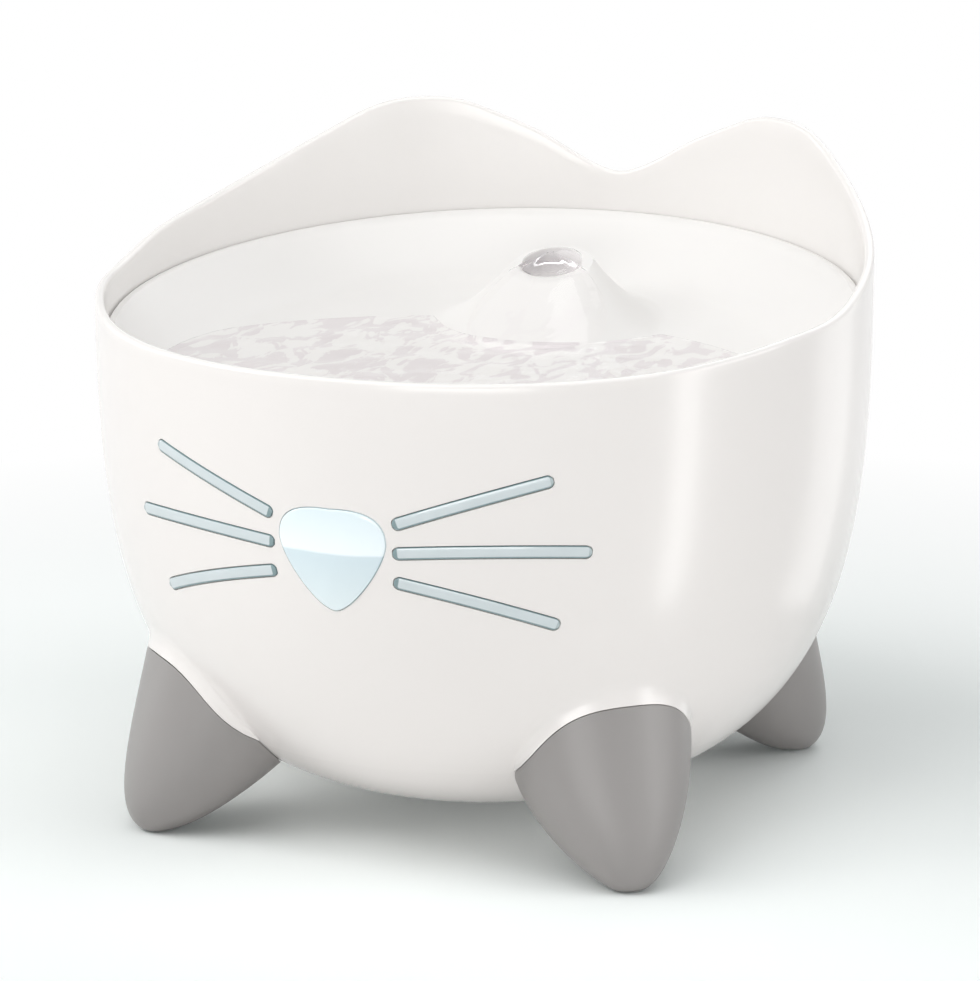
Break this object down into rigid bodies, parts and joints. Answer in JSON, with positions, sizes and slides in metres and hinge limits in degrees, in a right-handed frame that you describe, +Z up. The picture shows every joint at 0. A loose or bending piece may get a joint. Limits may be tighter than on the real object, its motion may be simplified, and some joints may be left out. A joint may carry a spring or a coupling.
{
  "type": "pet water fountain",
  "caption": "Round drinking fountain for pets: an eared bowl on splayed legs, a nose window, a sloping dish with a welling spout, a filter tray and a submerged pump.",
  "frame": {"origin": "on the floor, under the bowl's vertical axis", "axes": "+Z up, -Y towards the nose window, +X to the right of someone who faces the nose"},
  "size_m": [0.228, 0.228, 0.1923],
  "materials": {
    "shell": "glossy white, moulded",
    "dish": "semi-gloss white, moulded",
    "leg": "satin warm grey, moulded",
    "window": "clear, faintly blue, polished",
    "whisker": "pale blue, clear and glossy",
    "rubber": "matte black rubber",
    "seal": "translucent grey silicone",
    "screw": "stainless",
    "tray": "satin white",
    "felt": "felt with carbon grains",
    "pump": "matte dark grey",
    "pump_trim": "matte grey",
    "lamp": "clear, frosted inside",
    "magnet": "coated ferrite",
    "ceramic": "polished ceramic",
    "foam": "open-cell foam",
    "hose": "soft milky silicone"
  },
  "bodies": {
    "bowl": {"reservoir_shell": "shell", "nose_window": "window", "nose_gasket": "seal", "whisker_left_upper": "whisker", "whisker_left_middle": "whisker", "whisker_left_lower": "whisker", "whisker_right_upper": "whisker", "whisker_right_middle": "whisker", "whisker_right_lower": "whisker", "leg_front_right": "leg", "leg_screw_front_right": "screw", "foot_pad_front_right": "rubber", "leg_front_left": "leg", "leg_screw_front_left": "screw", "foot_pad_front_left": "rubber", "leg_rear_right": "leg", "leg_screw_rear_right": "screw", "foot_pad_rear_right": "rubber", "leg_rear_left": "leg", "leg_screw_rear_left": "screw", "foot_pad_rear_left": "rubber", "cable_grommet": "rubber"},
    "pump": {"pump_body": "pump", "pump_lamp": "lamp", "impeller_shaft": "ceramic", "shaft_bush_inner": "rubber", "shaft_bush_outer": "rubber", "impeller_cover": "pump_trim", "riser_hose": "hose", "suction_cup_1": "seal", "suction_cup_2": "seal", "suction_cup_3": "seal", "suction_cup_4": "seal"},
    "rotor": {"rotor_magnet": "magnet", "impeller": "pump_trim"},
    "intake": {"intake_cover": "pump_trim", "intake_foam": "foam"},
    "slider": {"flow_slider": "lamp"},
    "tray": {"filter_tray": "tray"},
    "pad": {"filter_pad": "felt"},
    "dish": {"drinking_dish": "dish", "spout_nozzle": "dish"}
  },
  "joints": [
    {"name": "pump_lift", "type": "slide", "parent": "bowl", "child": "pump", "axis": [0, 0, 1], "range_m": [0, 0.185]},
    {"name": "tray_lift", "type": "slide", "parent": "pump", "child": "tray", "axis": [0, 0, 1], "range_m": [0, 0.095]},
    {"name": "pad_lift", "type": "slide", "parent": "tray", "child": "pad", "axis": [0, 0, 1], "range_m": [0, 0.09]},
    {"name": "dish_lift", "type": "slide", "parent": "pad", "child": "dish", "axis": [0, 0, 1], "range_m": [0, 0.08]},
    {"name": "impeller_spin", "type": "hinge", "parent": "pump", "child": "rotor", "pos_m": [0, 0, 0.0314], "axis": [0, 1, 0], "continuous": true},
    {"name": "intake_cover_pull", "type": "slide", "parent": "pump", "child": "intake", "axis": [0, 1, 0], "range_m": [0, 0.008]},
    {"name": "flow_slide", "type": "slide", "parent": "intake", "child": "slider", "axis": [1, 0, 0], "range_m": [0, 0.006]}
  ]
}
